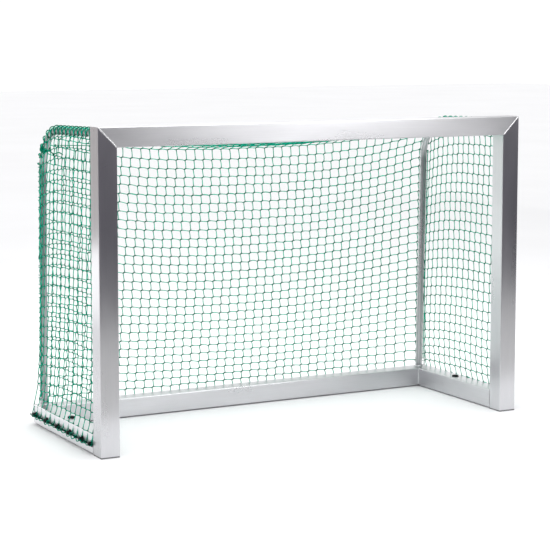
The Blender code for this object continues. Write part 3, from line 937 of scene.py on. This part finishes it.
def lacing(side, sign):
    """The lacing that holds the net to a bracket: a slack turn of twine at every row."""
    strands = []
    for row in range(ROOF_ROWS + LACED_BACK_ROWS):
        turns = []
        for degrees in range(*LACING_SWEEP):
            hang = max(0.0, math.cos(math.radians((degrees - LACING_HANG_ANGLE) * LACING_HANG_RATE)))
            slack = LACING_GAP + LACING_SLACK[side] * hang ** LACING_HANG_POWER
            turns.append(above_tube(ROW_DISTANCES[row] + LACING_SHIFT, sign, degrees, slack))
        strands.append(even_strand(smoothed(turns, 1), TWINE_RADIUS * LACING_SWELL))
    return strands


def seam(sign):
    """The cord that joins the side and back nets down the front of a bracket's rear leg."""
    first = ROW_DISTANCES[ROOF_ROWS + SEAM_FIRST_ROW]
    points = []
    for index, distance in enumerate(np.arange(first, TUBE_LENGTH[-1] - FREE_FOOT, SEAM_STEP)):
        degrees = SEAM_ANGLE + SEAM_WEAVE * math.sin(index * SEAM_WEAVE_PACE)
        points.append(above_tube(distance, sign, degrees, SEAM_LIFT))
    return rope_strands(smoothed(points, 1), SEAM_RADIUS, SEAM_PITCH, plies=2)


def hem_loops(grid, present, sign):
    """Slack loops of the last row, which hang under the ground cord between its hooks."""
    strands = []
    last = grid.shape[0] - 1
    chosen = np.nonzero(present[last])[0]
    for first, second in zip(chosen, chosen[1:]):
        start, end = grid[last, first], grid[last, second]
        drop = random.uniform(*HEM_DROPS)
        out = sign * random.uniform(*HEM_OUTS)
        points = []
        for share in np.linspace(0.0, 1.0, HEM_LOOP_POINTS):
            swing = math.sin(math.pi * share)
            hang = np.array((out * swing ** 0.5, 0.0, -drop * swing))
            points.append(start * (1 - share) + end * share + hang)
        strands.append(even_strand(np.array(points), TWINE_RADIUS * HEM_LOOP_SWELL))
    return strands


def hem_rings(grid, present, sign):
    """Turns of twine that hold the last row's joints to the ground cord."""
    strands = []
    last = grid.shape[0] - 1
    x = FRAME_HALF + HOOK_RING_OFFSET
    reach = CORD_RADIUS + TWINE_RADIUS + HEM_RING_GAP
    for column in np.nonzero(present[last])[0]:
        joint = grid[last, column]
        lean = random.uniform(-HEM_RING_LEAN, HEM_RING_LEAN)
        points = [joint]
        for degrees in range(*HEM_RING_SWEEP):
            angle = math.radians(degrees)
            points.append((sign * (x + reach * math.cos(angle)), joint[1] + lean * math.cos(angle),
                           GROUND_CORD_Z + reach * math.sin(angle)))
        strands.append(even_strand(np.array(points), TWINE_RADIUS * LACING_SWELL))
    return strands


def side_grid(side, sign):
    """The joints of a side net: columns from the front cord to the rear leg, rows downwards."""
    rows = SIDE_UPPER_ROWS + SIDE_LOWER_ROWS + 1
    lean, spread_rate = SIDE_LEAN[side], SIDE_SPREAD[side]
    heights = [SIDE_TOP_ROW - SIDE_PITCH * row for row in range(SIDE_UPPER_ROWS + 1)]
    last = heights[-1]
    fall_to_cord = GROUND_CORD_Z - last
    heights += [last + fall_to_cord * step / SIDE_LOWER_ROWS for step in range(1, SIDE_LOWER_ROWS + 1)]
    front = PROFILE + HOOK_RING_OFFSET
    tops = [front - ROOF_PITCH] if lean else []
    tops += [on_bracket(ROW_DISTANCES[column])[0][0] for column in range(SIDE_COLUMNS + 1)]
    columns = len(tops)
    grid = np.zeros((rows, columns, 3))
    present = np.ones((rows, columns), bool)
    shift_y, shift_z = wander(rows, columns, SIDE_WANDER)
    for row, height in enumerate(heights):
        fall = SIDE_TOP_ROW - height
        free = 0.0 if row == rows - 1 else 1.0
        for column, top_y in enumerate(tops):
            y = top_y + fall * (lean + spread_rate * (top_y - front) / SPREAD_SPAN)
            rear = max(0.0, y - DROOP_FROM) / DROOP_SPAN
            near_front = max(0.0, 1 - (y - front) / FRONT_DROOP_SPAN)
            droop = (DROOP_LOW + DROOP_RISE * height) * rear ** DROOP_POWER + FRONT_DROOP * near_front
            z = height - droop * min(1.0, (height - GROUND_CORD_Z) / DROOP_FADE)
            y += shift_y[row, column] * free
            z += shift_z[row, column] * free
            under_tube = tube_height_at(min(y, FRAME_DEPTH - BEND_INSET)) - UNDER_TUBE_GAP
            if y < front or y > rear_limit(z) or (y > UNDER_TUBE_FROM and z > under_tube):
                present[row, column] = False
            tucked = 0.0 if free else HEM_TUCK
            grid[row, column] = placed(sign * (side_plane(z) - tucked), y, z)
    return grid, present


def make_side_net(side, sign):
    grid, present = side_grid(side, sign)
    handed = -sign
    first = 0 if side == "left" else -1

    def column_ends(column, chosen, out):
        number = column + first
        if number < 0:
            return [], []
        return wrap_round_tube(ROW_DISTANCES[number], sign, (SIDE_WRAP_ANGLE,)), []

    def row_ends(row, chosen, out):
        z = float(grid[row, chosen[0]][2])
        start = placed(sign * FRONT_CORD_X, PROFILE + HOOK_RING_OFFSET, max(z, FRONT_CORD_FOOT))
        lead = [(np.array(start), out[row, chosen[0]])]
        rear_z = float(grid[row, chosen[-1]][2]) - REAR_WRAP_DROP
        if rear_z < GROUND_BAR_TOP + REAR_WRAP_STOP:
            return lead, []
        distance = bracket_distance_at_height(rear_z)
        return lead, wrap_round_tube(distance, sign, (SIDE_WRAP_ANGLE, REAR_WRAP_ANGLE))

    strands = knitted(grid, handed, present, row_ends, column_ends)
    strands += lacing(side, sign)
    strands += seam(sign)
    strands += hem_loops(grid, present, sign)
    strands += hem_rings(grid, present, sign)
    name = f"{side}_side_net_mesh"
    add_piece(name, tube_mesh(name, strands), NET_TWINE, (f"{side}_side_net",))


# ---------- cords

def add_rope(name, route, node):
    strands = rope_strands(filleted(route, CORD_CORNER, CORD_CORNER_STEPS), CORD_RADIUS, CORD_PITCH)
    add_piece(name, tube_mesh(name, strands), CORD_TWINE, (node,))


def make_edge_cords():
    x, y = FRAME_HALF + HOOK_RING_OFFSET, FRAME_DEPTH + HOOK_RING_OFFSET
    start_y = PROFILE + CORD_END_GAP
    ground = [placed(-x, start_y, GROUND_CORD_Z), placed(-x, y, GROUND_CORD_Z),
              placed(x, y, GROUND_CORD_Z), placed(x, start_y, GROUND_CORD_Z)]
    add_rope("ground_border_rope", ground, "ground_border_cord")
    x, y = FRONT_CORD_X, PROFILE + HOOK_RING_OFFSET
    front = [placed(-x, y, FRONT_CORD_FOOT), placed(-x, y, FRONT_CORD_Z),
             placed(x, y, FRONT_CORD_Z), placed(x, y, FRONT_CORD_FOOT)]
    add_rope("front_edge_rope", front, "front_edge_cord")


def lashing_turns(side, sign):
    """The tie's turns round the bracket, each a rope's width further along it."""
    points = []
    first, last = LASHING_SWEEP[:2]
    for turn in range(LASHING_TURNS):
        for degrees in range(*LASHING_SWEEP):
            advance = LASHING_PITCH * (degrees - first) / (last - first)
            distance = LASHING_PLACES[side] + LASHING_PITCH * turn + advance
            points.append(above_tube(distance, sign, degrees, LASHING_LIFT))
    return points


def make_ties():
    """A cord from the front edge to the bracket, lashed round it, with a knotted tail."""
    for side, sign in SIDES.items():
        x = sign * (side_plane(TIE_HEIGHT) + TIE_OUT)
        lift = TIE_LIFT[side]
        thin = TIE_RADIUS * TIE_THIN
        run = [placed(x, y, z + lift) for y, z in TIE_RUN]
        strands = rope_strands(run, thin, TIE_PITCH)
        for y, z in TIE_KNOTS:
            strands.append(knot_strand(placed(x, y, z + lift), SMALL_KNOT, thin, (0, 1, 0), (0, 0, 1)))
        lashing = lashing_turns(side, sign)
        strands += rope_strands(smoothed(lashing, 1), TIE_RADIUS * LASHING_SWELL, TIE_PITCH)
        tail = [lashing[TAIL_START]]
        tail += [placed(x + sign * out, y, z + lift) for out, y, z in TIE_TAIL]
        strands += rope_strands(smoothed(tail), TIE_RADIUS * TIE_TAIL_SWELL, TIE_PITCH)
        out, y, z = TAIL_KNOT
        knot = placed(x + sign * out, y, z + lift)
        strands.append(knot_strand(knot, LARGE_KNOT, TIE_RADIUS, (0, 1, 0), (0, 0, 1)))
        name = f"{side}_tie_rope"
        add_piece(name, tube_mesh(name, strands), TIE_TWINE, (f"{side}_net_tie_cord",))


# ---------- hooks

def hook_shape():
    """The moulded hook with rounded edges: X away from its tube, Y the way the net pulls."""
    sweep = HOOK_TIP_ANGLE - HOOK_START_ANGLE
    ring = [math.radians(HOOK_START_ANGLE + sweep * step / HOOK_STEPS) for step in range(HOOK_STEPS + 1)]
    inner, outer = [[(HOOK_RING_OFFSET + radius * math.cos(a), radius * math.sin(a)) for a in ring]
                    for radius in (HOOK_RING_INNER, HOOK_RING_OUTER)]
    front = HOOK_GAP + HOOK_PLATE
    outline = [(HOOK_GAP, -HOOK_PLATE_HALF), (front, -HOOK_PLATE_HALF), (front, HOOK_RING_INNER)]
    outline += inner + outer[::-1]
    outline += [(front, HOOK_RING_OUTER), (front, HOOK_PLATE_HALF), (HOOK_GAP, HOOK_PLATE_HALF)]
    mesh = bpy.data.meshes.new("hook_moulding")
    work = bmesh.new()
    rim = [work.verts.new((x, y, -HOOK_WIDTH / 2)) for x, y in outline]
    face = work.faces.new(rim)
    grown = bmesh.ops.extrude_face_region(work, geom=[face])
    lifted = [item for item in grown["geom"] if isinstance(item, bmesh.types.BMVert)]
    bmesh.ops.translate(work, verts=lifted, vec=(0, 0, HOOK_WIDTH))
    bmesh.ops.recalc_face_normals(work, faces=work.faces)
    sharp = [edge for edge in work.edges if len(edge.link_faces) == 2 and edge.calc_face_angle() > 1.0]
    bmesh.ops.bevel(work, geom=sharp, offset=HOOK_ROUNDING, segments=2, affect="EDGES", profile=0.5)
    for height in RIVET_HEIGHTS:
        add_rivet(work, front, height)
    work.to_mesh(mesh)
    work.free()
    mesh.shade_smooth()
    mesh.set_sharp_from_angle(angle=HOOK_SHARP_ANGLE)
    mesh.materials.append(BLACK)
    return mesh


def add_rivet(work, front, height):
    """A low rivet head on the hook's plate."""
    centre = Vector((front - RIVET_SINK, height, 0))
    matrix = Matrix.Translation(centre) @ Matrix.Rotation(math.radians(90), 4, "Y")
    head = bmesh.ops.create_uvsphere(work, u_segments=12, v_segments=6, radius=RIVET_RADIUS, matrix=matrix)
    flat = (RIVET_FLATNESS, 1, 1)
    bmesh.ops.scale(work, verts=head["verts"], vec=flat, space=Matrix.Translation(-centre))


def hook_pose(node, middle):
    """Which way a hook stands off its tube, which way the net pulls it, and its place on the tube."""
    sign = 1.0 if node.startswith("right") else -1.0
    back, up = Vector((0, 1, 0)), Vector((0, 0, 1))
    if node.startswith("rear"):
        return back, up, Vector((middle.x, FRAME_DEPTH + FRONT_Y, middle.z))
    if "ground_hook" in node:
        return Vector((sign, 0, 0)), up, Vector((sign * FRAME_HALF, middle.y, middle.z))
    pull = -up if node.startswith("crossbar") else Vector((sign, 0, 0))
    return back, pull, Vector((middle.x, PROFILE + FRONT_Y, middle.z))


def make_hooks():
    shape = hook_shape()
    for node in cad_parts:
        if "_hook_" not in node:
            continue
        low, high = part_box(node)
        outward, pull, place = hook_pose(node, (low + high) / 2)
        piece = linked(f"{node}_moulding", shape)
        matrix = Matrix((outward, pull, outward.cross(pull))).transposed().to_4x4()
        matrix.translation = place
        piece.matrix_world = matrix
        enrol(piece, (node,))


# ---------- ground anchor plugs

def plug_profile(head, rise, foot):
    """The plug's outline as (radius, height) from the middle of its top round to the inside."""
    stem = PLUG_STEM_RADIUS
    dome = [math.radians(PLUG_DOME_STEP * step) for step in range(1, PLUG_DOME_POINTS + 1)]
    outline = [(0.0, rise)]
    outline += [(head * math.sin(a) * PLUG_DOME_SHARE, rise * (PLUG_DOME_LOW + PLUG_DOME_RISE * math.cos(a)))
                for a in dome]
    outline += [(head * across, rise * up) for across, up in PLUG_RIM]
    outline.append((stem, 0.0))
    for rib in range(PLUG_RIBS):
        z = PLUG_RIB_TOP - PLUG_RIB_PITCH * rib
        outline += [(stem - PLUG_RIB_DEPTH, z + PLUG_RIB_HALF), (stem, z),
                    (stem - PLUG_RIB_DEPTH, z - PLUG_RIB_HALF)]
    outline += [(stem - inwards, foot + up) for inwards, up in PLUG_TIP]
    inside = stem - PLUG_WALL
    outline += [(inside, foot), (inside, rise * PLUG_CEILING), (0.0, rise * PLUG_CEILING)]
    return outline


def make_plugs():
    """Turned covers: a domed head with a grooved rim, a ribbed hollow stem and a lifting notch."""
    seat = GROUND_BAR_TOP + HOOK_GAP
    for side in SIDES:
        node = f"{side}_ground_anchor_plug"
        low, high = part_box(node)
        centre = (low + high) / 2
        head = (high.x - low.x) / 2
        outline = plug_profile(head, high.z - GROUND_BAR_TOP - HOOK_GAP, low.z - GROUND_BAR_TOP - HOOK_GAP)
        work = bmesh.new()
        line = [work.verts.new((radius, 0.0, z)) for radius, z in outline]
        edges = [work.edges.new(pair) for pair in zip(line, line[1:])]
        bmesh.ops.spin(work, geom=line + edges, cent=(0, 0, 0), axis=(0, 0, 1), angle=2 * math.pi,
                       steps=PLUG_SIDES, use_merge=True)
        bmesh.ops.remove_doubles(work, verts=work.verts, dist=MERGE_DISTANCE)
        for vertex in work.verts:
            x, y = (vertex.co.x - head) / NOTCH_LENGTH, vertex.co.y / NOTCH_WIDTH
            if vertex.co.z > 0:
                vertex.co.z -= NOTCH_DEPTH * math.exp(-x ** 2 - y ** 2)
        bmesh.ops.recalc_face_normals(work, faces=work.faces)
        bmesh.ops.translate(work, verts=work.verts, vec=(centre.x, centre.y, seat))
        name = f"{side}_anchor_plug_turning"
        mesh = bpy.data.meshes.new(name)
        work.to_mesh(mesh)
        work.free()
        mesh.shade_smooth()
        mesh.set_sharp_from_angle(angle=PLUG_SHARP_ANGLE)
        add_piece(name, mesh, BLACK, (node,), f"{side}_anchor_plug")


# ---------- weld beads

def bead(start, end, out, width, height):
    """A row of overlapping ripples from start to end, standing out along out."""
    start, end, out = Vector(start), Vector(end), Vector(out).normalized()
    along = (end - start)
    length = along.length
    along.normalize()
    across = along.cross(out)
    work = bmesh.new()
    ripples = max(2, round(length / RIPPLE_LENGTH))
    rows = []
    for index in range(ripples * 2 + 1):
        share = index / (ripples * 2)
        uneven = 1.0
        for size, pace in RIPPLE_WAVES:
            uneven += size * math.sin(index * pace)
        swell = (1.0 if index % 2 else RIPPLE_VALLEY) * uneven
        taper = min(1.0, BEAD_TIP + BEAD_TAPER * min(share, 1 - share))
        centre = start + along * length * share
        row = []
        for step in range(BEAD_SIDES + 1):
            angle = math.pi * step / BEAD_SIDES
            reach = BEAD_BASE + BEAD_SWELL * swell
            off = across * math.cos(angle) * width / 2 * taper * reach
            rise = out * math.sin(angle) * height * swell * taper
            lag = along * -math.sin(angle) * RIPPLE_LAG
            row.append(work.verts.new(centre + off + rise + lag))
        rows.append(row)
    for first, second in zip(rows, rows[1:]):
        for step in range(BEAD_SIDES):
            work.faces.new((first[step], first[step + 1], second[step + 1], second[step]))
    work.faces.new(rows[0][::-1])
    work.faces.new(rows[-1])
    for first, second in zip(rows, rows[1:]):
        work.faces.new((first[0], second[0], second[-1], first[-1]))
    bmesh.ops.recalc_face_normals(work, faces=work.faces)
    return work


def add_bead(collected, start, end, out, width=0.006, height=0.0013):
    work = bead(start, end, out, width, height)
    scratch = bpy.data.meshes.new("bead")
    work.to_mesh(scratch)
    work.free()
    collected.from_mesh(scratch)
    bpy.data.meshes.remove(scratch)


def make_weld_beads():
    collected = bmesh.new()
    inner = POST_X - PROFILE / 2
    rear, front = FRAME_DEPTH - BEAD_TRIM, REAR_BAR_FRONT
    under = FRAME_HEIGHT - PROFILE
    for sign in SIDES.values():
        outer = sign * (FRAME_HALF - BEAD_TRIM)
        inside = sign * inner
        for y, out in ((0.0, -1.0), (PROFILE, 1.0)):
            add_bead(collected, placed(outer, y, FRAME_HEIGHT - BEAD_TRIM), placed(inside, y, under),
                     (0, out, 0))
        add_bead(collected, placed(inside, BEAD_TRIM, under), placed(inside, PROFILE - BEAD_TRIM, under),
                 (-sign, 0, -1), width=0.005, height=0.0022)
        add_bead(collected, placed(outer, rear, GROUND_BAR_TOP),
                 placed(inside, front, GROUND_BAR_TOP), (0, 0, 1))
        add_bead(collected, placed(inside, front, GROUND_BAR_BASE + BEAD_TRIM),
                 placed(inside, front, GROUND_BAR_TOP - BEAD_TRIM), (-sign, -1, 0), height=0.0026)
        add_bead(collected, placed(sign * (inner + BEAD_TRIM), PROFILE, GROUND_BAR_TOP),
                 placed(outer, PROFILE, GROUND_BAR_TOP), (0, 1, 1), height=0.0022)
    mesh = bpy.data.meshes.new("weld_beads")
    collected.to_mesh(mesh)
    collected.free()
    mesh.shade_smooth()
    add_piece("weld_beads", mesh, WELD)


def ring_bead_strand(centre, axis, radius, thickness):
    """A rippled ring of weld round a tube's end."""
    axis = unit(np.array(axis, float))
    side = unit(np.cross(axis, (1.0, 0.0, 0.0)))
    up = np.cross(axis, side)
    turn = np.linspace(0.0, 2 * math.pi, RING_BEAD_POINTS)
    points = (np.array(centre, float) + np.cos(turn)[:, None] * side * radius
              + np.sin(turn)[:, None] * up * radius)
    radii = thickness * (1 + RING_BEAD_RIPPLE * np.sin(turn * RING_BEAD_COUNT))
    return points, radii, np.tile(axis, (len(points), 1))


def make_tube_welds():
    strands = []
    radius = TUBE_RADIUS + RING_BEAD_GAP
    for sign in SIDES.values():
        front, foot = TUBE_LINE[0], TUBE_LINE[-1]
        top = placed(sign * POST_X, PROFILE + RING_BEAD_RISE, front[1])
        low = placed(sign * POST_X, foot[0], GROUND_BAR_TOP + RING_BEAD_RISE)
        strands.append(ring_bead_strand(top, (0, 1, 0), radius, RING_BEAD_THICKNESS))
        strands.append(ring_bead_strand(low, (0, 0, 1), radius, RING_BEAD_THICKNESS))
    name = "bracket_weld_rings"
    add_piece(name, tube_mesh(name, strands, 10), WELD)


# ---------- studio


def make_camera():
    data = bpy.data.cameras.new("camera")
    data.sensor_width = SENSOR_WIDTH
    data.lens = SENSOR_WIDTH * FOCAL_SHARE
    data.shift_y = CAMERA_SHIFT_Y
    camera = linked("camera", data)
    camera.location = placed(*CAMERA_PLACE)
    camera.rotation_euler = (math.pi / 2 + CAMERA_PITCH, 0.0, -CAMERA_YAW)
    bpy.context.scene.camera = camera


def stage_plane(name, size_x, size_y, matrix, material):
    mesh = bpy.data.meshes.new(name)
    work = bmesh.new()
    bmesh.ops.create_grid(work, x_segments=1, y_segments=1, size=0.5)
    bmesh.ops.scale(work, vec=(size_x, size_y, 1.0), verts=work.verts)
    work.to_mesh(mesh)
    work.free()
    mesh.materials.append(material)
    plane = linked(name, mesh)
    plane.matrix_world = matrix
    return plane


def card_material(name, colour, strength):
    material = bpy.data.materials.new(name)
    material.use_nodes = True
    nodes = material.node_tree.nodes
    nodes.remove(nodes["Principled BSDF"])
    glow = nodes.new("ShaderNodeEmission")
    glow.inputs["Color"].default_value = (*colour, 1.0)
    glow.inputs["Strength"].default_value = strength
    material.node_tree.links.new(glow.outputs["Emission"], nodes["Material Output"].inputs["Surface"])
    return material


def soft_box_material(half_width, half_height, strength):
    """A soft box that is brightest in its middle."""
    material = card_material("soft_box", (1.0, 1.0, 1.0), 0.0)
    nodes, links = material.node_tree.nodes, material.node_tree.links
    place = scaled_position(nodes, links, (1 / half_width, 1 / half_height, 1.0))
    falloff = nodes.new("ShaderNodeTexGradient")
    falloff.gradient_type = "SPHERICAL"
    links.new(place, falloff.inputs["Vector"])
    power = maths(nodes, links, "MULTIPLY", falloff.outputs["Fac"], strength)
    links.new(power, nodes["Emission"].inputs["Strength"])
    return material


def only_in_reflections(card):
    card.visible_camera = False
    card.visible_diffuse = False
    card.visible_transmission = False
    card.visible_shadow = False


def make_card(name, size, place, turn, material):
    """A card that only reflections see. turn is its rotation from lying flat."""
    matrix = Matrix.Translation(placed(*place)) @ turn
    only_in_reflections(stage_plane(name, *size, matrix, material))


def make_studio():
    stage_plane("floor", FLOOR_SIZE, FLOOR_SIZE, Matrix.Translation((0, FLOOR_SHIFT, 0)), pale_floor())
    glows = {name: card_material(name, colour, strength) for name, colour, strength in GLOWS}
    glows["soft_box"] = soft_box_material(*SOFT_BOX_HALF, SOFT_BOX_STRENGTH)
    for name, glow, size, place, turn in CARDS:
        make_card(name, size, place, turn, glows[glow])
    world = bpy.data.worlds.new("studio")
    bpy.context.scene.world = world
    world.use_nodes = True
    background = world.node_tree.nodes["Background"]
    background.inputs["Color"].default_value = (1.0, 1.0, 1.0, 1.0)
    background.inputs["Strength"].default_value = WORLD_STRENGTH
    light = bpy.data.lights.new("top_light", "AREA")
    light.shape = "RECTANGLE"
    light.size, light.size_y = TOP_LIGHT_SIZE
    light.energy = TOP_LIGHT_WATTS
    linked("top_light", light).location = TOP_LIGHT_PLACE
    bpy.context.scene.view_settings.view_transform = "Standard"


def dress_cad_nodes():
    axes = {"left_post": "z", "right_post": "z", "crossbar": "x", "rear_ground_bar": "x",
            "left_ground_bar": "y", "right_ground_bar": "y"}
    for node, axis in axes.items():
        dress(node, ALUMINIUM[axis])
    for side in SIDES:
        dress(f"{side}_post_end_cap", GREY)
        dress(f"{side}_rear_foot_pad", GREY)


make_camera()
make_studio()
dress_cad_nodes()
make_brackets()
make_centre_net()
for side, sign in SIDES.items():
    make_side_net(side, sign)
make_edge_cords()
make_ties()
make_hooks()
make_plugs()
make_weld_beads()
make_tube_welds()
